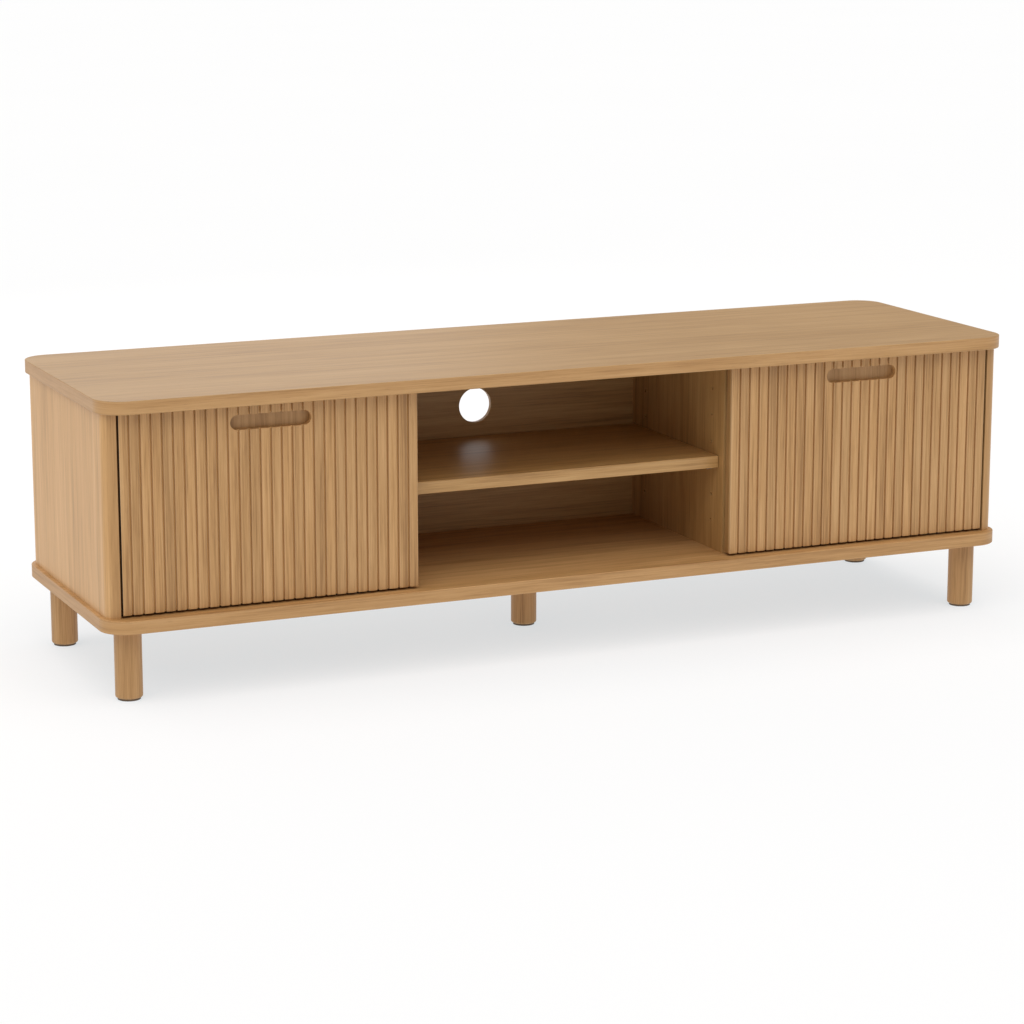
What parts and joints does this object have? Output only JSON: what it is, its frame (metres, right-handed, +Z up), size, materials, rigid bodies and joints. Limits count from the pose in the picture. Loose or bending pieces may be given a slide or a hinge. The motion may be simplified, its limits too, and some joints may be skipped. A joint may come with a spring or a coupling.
{
  "type": "media cabinet",
  "caption": "Low oak media cabinet on round legs: open middle bay with a loose shelf, a fluted drop-down flap each side, and a round cable hole in its back.",
  "frame": {"origin": "on the floor, under the middle of the cabinet", "axes": "+X along the cabinet to its right end, +Y to its back, +Z up; the doors face -Y"},
  "size_m": [1.5, 0.445, 0.448],
  "materials": {
    "oak_veneer": "light oak veneer under a matt clear lacquer",
    "solid_oak": "solid light oak under a matt clear lacquer",
    "dowel_wood": "plain fluted beech",
    "glide_plastic": "dark grey glide",
    "bumper_rubber": "soft clear grey",
    "catch_plastic": "brown moulded plastic",
    "cast_zinc": "die-cast zinc",
    "magnet_iron": "sintered magnet",
    "bright_steel": "zinc-plated steel"
  },
  "bodies": {
    "root": {"top_panel": "oak_veneer", "bottom_panel": "oak_veneer", "left_side_panel": "oak_veneer", "right_side_panel": "oak_veneer", "left_front_post": "solid_oak", "right_front_post": "solid_oak", "left_rear_post": "solid_oak", "right_rear_post": "solid_oak", "left_divider": "oak_veneer", "right_divider": "oak_veneer", "back_panel": "oak_veneer", "back_panel_screws": "bright_steel", "center_shelf": "oak_veneer", "shelf_pegs": "bright_steel", "front_left_leg": "solid_oak", "front_right_leg": "solid_oak", "rear_left_leg": "solid_oak", "rear_right_leg": "solid_oak", "center_leg": "solid_oak", "leg_bolts": "bright_steel", "leg_inserts": "bright_steel", "glides": "glide_plastic", "cam_locks": "cast_zinc", "cam_bolts": "bright_steel", "dowels": "dowel_wood", "left_hinge_brackets": "bright_steel", "right_hinge_brackets": "bright_steel", "left_stay_side_plate": "bright_steel", "right_stay_side_plate": "bright_steel", "catches": "catch_plastic", "catch_magnets": "magnet_iron", "door_bumpers": "bumper_rubber", "cabinet_fitting_screws": "bright_steel"},
    "left_flap": {"left_door_board": "oak_veneer", "left_door_slats": "solid_oak", "left_hinge_leaves": "bright_steel", "left_hinge_pins": "bright_steel", "left_stay_door_plate": "bright_steel", "left_strike_plate": "bright_steel", "left_door_screws": "bright_steel"},
    "left_stay_outer": {"left_stay_tube": "bright_steel"},
    "left_stay_inner": {"left_stay_rod": "bright_steel"},
    "right_flap": {"right_door_board": "oak_veneer", "right_door_slats": "solid_oak", "right_hinge_leaves": "bright_steel", "right_hinge_pins": "bright_steel", "right_stay_door_plate": "bright_steel", "right_strike_plate": "bright_steel", "right_door_screws": "bright_steel"},
    "right_stay_outer": {"right_stay_tube": "bright_steel"},
    "right_stay_inner": {"right_stay_rod": "bright_steel"}
  },
  "joints": [
    {"name": "left_flap_hinge", "type": "hinge", "parent": "root", "child": "left_flap", "pos_m": [-0.491, -0.192, 0.143], "axis": [1, 0, 0], "range_deg": [0, 90]},
    {"name": "left_stay_swing", "type": "hinge", "parent": "root", "child": "left_stay_outer", "pos_m": [-0.709, -0.05583, 0.17553], "axis": [1, 0, 0], "range_deg": [0, 45]},
    {"name": "left_stay_turn", "type": "hinge", "parent": "left_flap", "child": "left_stay_inner", "pos_m": [-0.709, -0.176, 0.28208], "axis": [1, 0, 0], "range_deg": [-45, 0]},
    {"name": "right_flap_hinge", "type": "hinge", "parent": "root", "child": "right_flap", "pos_m": [0.491, -0.192, 0.143], "axis": [1, 0, 0], "range_deg": [0, 90]},
    {"name": "right_stay_swing", "type": "hinge", "parent": "root", "child": "right_stay_outer", "pos_m": [0.709, -0.05583, 0.17553], "axis": [1, 0, 0], "range_deg": [0, 45]},
    {"name": "right_stay_turn", "type": "hinge", "parent": "right_flap", "child": "right_stay_inner", "pos_m": [0.709, -0.176, 0.28208], "axis": [1, 0, 0], "range_deg": [-45, 0]}
  ],
  "couplings": [
    {"joint": "left_stay_swing", "follows": "left_flap_hinge", "ratio": 0.5},
    {"joint": "left_stay_turn", "follows": "left_flap_hinge", "ratio": -0.5},
    {"joint": "right_stay_swing", "follows": "right_flap_hinge", "ratio": 0.5},
    {"joint": "right_stay_turn", "follows": "right_flap_hinge", "ratio": -0.5}
  ]
}
